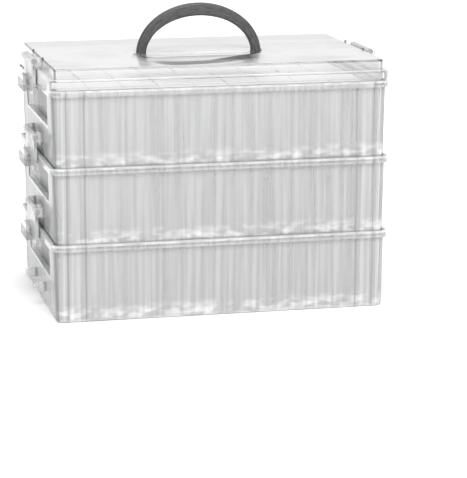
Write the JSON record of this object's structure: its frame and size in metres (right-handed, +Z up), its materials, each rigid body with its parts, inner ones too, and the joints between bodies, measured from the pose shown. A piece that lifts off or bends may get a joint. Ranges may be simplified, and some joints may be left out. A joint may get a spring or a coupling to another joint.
{
  "type": "stacking craft storage box",
  "caption": "Clear stacking storage box with latched tiers of small flip-top containers, a clear lid and a folding arched carrying handle.",
  "frame": {"origin": "middle of the underside, on the surface it stands on", "axes": "+X along the long side to the right, +Y from the front face to the back, +Z up"},
  "size_m": [0.263, 0.1644, 0.2148],
  "materials": {
    "tray_clear": "clear gloss",
    "lid_clear": "clear gloss",
    "latch_clear": "clear gloss",
    "container_clear": "clear gloss with slight haze",
    "handle_grey": "satin dark grey"
  },
  "bodies": {
    "base_tier": {"bottom_tray": "tray_clear", "bottom_containers_row_01": "container_clear", "bottom_containers_row_02": "container_clear", "bottom_containers_row_03": "container_clear", "bottom_containers_row_04": "container_clear", "bottom_containers_row_05": "container_clear", "bottom_containers_row_06": "container_clear", "bottom_containers_row_07": "container_clear", "bottom_containers_row_08": "container_clear", "bottom_containers_row_09": "container_clear", "bottom_containers_row_10": "container_clear", "bottom_containers_row_11": "container_clear", "bottom_containers_row_12": "container_clear", "bottom_containers_row_13": "container_clear", "bottom_containers_row_14": "container_clear"},
    "middle_tier": {"middle_tray": "tray_clear", "middle_containers_row_01": "container_clear", "middle_containers_row_02": "container_clear", "middle_containers_row_03": "container_clear", "middle_containers_row_04": "container_clear", "middle_containers_row_05": "container_clear", "middle_containers_row_06": "container_clear", "middle_containers_row_07": "container_clear", "middle_containers_row_08": "container_clear", "middle_containers_row_09": "container_clear", "middle_containers_row_10": "container_clear", "middle_containers_row_11": "container_clear", "middle_containers_row_12": "container_clear", "middle_containers_row_13": "container_clear", "middle_containers_row_14": "container_clear"},
    "top_tier": {"top_tray": "tray_clear", "top_containers_row_01": "container_clear", "top_containers_row_02": "container_clear", "top_containers_row_03": "container_clear", "top_containers_row_04": "container_clear", "top_containers_row_05": "container_clear", "top_containers_row_06": "container_clear", "top_containers_row_07": "container_clear", "top_containers_row_08": "container_clear", "top_containers_row_09": "container_clear", "top_containers_row_10": "container_clear", "top_containers_row_11": "container_clear", "top_containers_row_12": "container_clear", "top_containers_row_13": "container_clear", "top_containers_row_14": "container_clear"},
    "lid": {"lid": "lid_clear"},
    "handle": {"handle": "handle_grey"},
    "bottom_left_latch": {"bottom_tray_left_latch": "latch_clear"},
    "bottom_right_latch": {"bottom_tray_right_latch": "latch_clear"},
    "middle_left_latch": {"middle_tray_left_latch": "latch_clear"},
    "middle_right_latch": {"middle_tray_right_latch": "latch_clear"},
    "top_left_latch": {"top_tray_left_latch": "latch_clear"},
    "top_right_latch": {"top_tray_right_latch": "latch_clear"}
  },
  "joints": [
    {"name": "middle_tier_lift", "type": "slide", "parent": "base_tier", "child": "middle_tier", "axis": [0, 0, 1], "range_m": [0, 0.06]},
    {"name": "top_tier_lift", "type": "slide", "parent": "middle_tier", "child": "top_tier", "axis": [0, 0, 1], "range_m": [0, 0.06]},
    {"name": "lid_lift", "type": "slide", "parent": "top_tier", "child": "lid", "axis": [0, 0, 1], "range_m": [0, 0.06]},
    {"name": "handle_fold", "type": "hinge", "parent": "lid", "child": "handle", "pos_m": [0, 0, 0.1774], "axis": [1, 0, 0], "range_deg": [0, 90]},
    {"name": "bottom_left_latch_swing", "type": "hinge", "parent": "middle_tier", "child": "bottom_left_latch", "pos_m": [-0.124, 0, 0.069], "axis": [0, 1, 0], "range_deg": [0, 130]},
    {"name": "bottom_right_latch_swing", "type": "hinge", "parent": "middle_tier", "child": "bottom_right_latch", "pos_m": [0.124, 0, 0.069], "axis": [0, -1, 0], "range_deg": [0, 130]},
    {"name": "middle_left_latch_swing", "type": "hinge", "parent": "top_tier", "child": "middle_left_latch", "pos_m": [-0.124, 0, 0.1235], "axis": [0, 1, 0], "range_deg": [0, 130]},
    {"name": "middle_right_latch_swing", "type": "hinge", "parent": "top_tier", "child": "middle_right_latch", "pos_m": [0.124, 0, 0.1235], "axis": [0, -1, 0], "range_deg": [0, 130]},
    {"name": "top_left_latch_swing", "type": "hinge", "parent": "lid", "child": "top_left_latch", "pos_m": [-0.124, 0, 0.178], "axis": [0, 1, 0], "range_deg": [0, 130]},
    {"name": "top_right_latch_swing", "type": "hinge", "parent": "lid", "child": "top_right_latch", "pos_m": [0.124, 0, 0.178], "axis": [0, -1, 0], "range_deg": [0, 130]}
  ],
  "couplings": [
    {"joint": "bottom_left_latch_swing", "follows": "middle_tier_lift", "rad_per_m": 37.8},
    {"joint": "bottom_right_latch_swing", "follows": "middle_tier_lift", "rad_per_m": 37.8},
    {"joint": "middle_left_latch_swing", "follows": "top_tier_lift", "rad_per_m": 37.8},
    {"joint": "middle_right_latch_swing", "follows": "top_tier_lift", "rad_per_m": 37.8},
    {"joint": "top_left_latch_swing", "follows": "lid_lift", "rad_per_m": 37.8},
    {"joint": "top_right_latch_swing", "follows": "lid_lift", "rad_per_m": 37.8}
  ]
}
